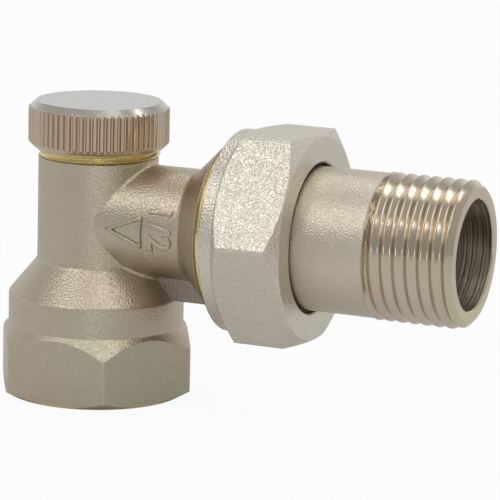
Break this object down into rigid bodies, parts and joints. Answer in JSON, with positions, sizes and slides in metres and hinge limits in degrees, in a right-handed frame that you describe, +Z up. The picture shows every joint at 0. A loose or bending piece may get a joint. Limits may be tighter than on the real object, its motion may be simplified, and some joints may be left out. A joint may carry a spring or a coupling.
{
  "type": "manual radiator valve",
  "caption": "Angle radiator valve with hexagon female inlet, knurled protective cap over a screwed spindle, and a union nut with male-threaded tail.",
  "frame": {"origin": "centre of the inlet's mouth, on the spindle axis", "axes": "+Z up the spindle axis, +X along the tail, away from the body"},
  "size_m": [0.0734, 0.0338, 0.043],
  "materials": {
    "nickel_plate": "satin nickel plate on shot-blasted forged brass",
    "bare_brass": "turned, unplated",
    "seal_rubber": "moulded black rubber"
  },
  "bodies": {
    "valve": {"valve_body": "nickel_plate", "headwork_bush": "bare_brass", "headwork_o_ring": "seal_rubber"},
    "cap_ring": {"cap_gasket": "seal_rubber"},
    "cap": {"protective_cap": "nickel_plate"},
    "spindle_ring": {"spindle_o_ring_upper": "seal_rubber"},
    "spindle": {"spindle": "bare_brass", "spindle_o_ring_lower": "seal_rubber", "clack": "bare_brass", "clack_seal": "seal_rubber", "clack_screw": "bare_brass"},
    "union_seal": {"tail_o_ring": "seal_rubber"},
    "nut": {"union_nut": "nickel_plate"},
    "tail": {"union_tail": "nickel_plate"}
  },
  "joints": [
    {"name": "cap_lift", "type": "slide", "parent": "valve", "child": "cap_ring", "axis": [0, 0, 1], "range_m": [0, 0.003]},
    {"name": "cap_turn", "type": "hinge", "parent": "cap_ring", "child": "cap", "pos_m": [0, 0, 0.04], "axis": [0, 0, 1], "range_deg": [0, 1080]},
    {"name": "spindle_lift", "type": "slide", "parent": "valve", "child": "spindle_ring", "axis": [0, 0, 1], "range_m": [0, 0.0025]},
    {"name": "spindle_turn", "type": "hinge", "parent": "spindle_ring", "child": "spindle", "pos_m": [0, 0, 0.03], "axis": [0, 0, 1], "range_deg": [0, 900]},
    {"name": "tail_slide", "type": "slide", "parent": "valve", "child": "union_seal", "axis": [1, 0, 0], "range_m": [0, 0.00726]},
    {"name": "nut_turn", "type": "hinge", "parent": "union_seal", "child": "nut", "pos_m": [0.0286, 0, 0.02609], "axis": [1, 0, 0], "range_deg": [0, 1440]},
    {"name": "tail_swivel", "type": "hinge", "parent": "union_seal", "child": "tail", "pos_m": [0.0286, 0, 0.02609], "axis": [1, 0, 0], "continuous": true}
  ],
  "couplings": [
    {"joint": "cap_turn", "follows": "cap_lift", "rad_per_m": 6283.2},
    {"joint": "spindle_turn", "follows": "spindle_lift", "rad_per_m": 6283.2},
    {"joint": "nut_turn", "follows": "tail_slide", "rad_per_m": 3461.8}
  ]
}
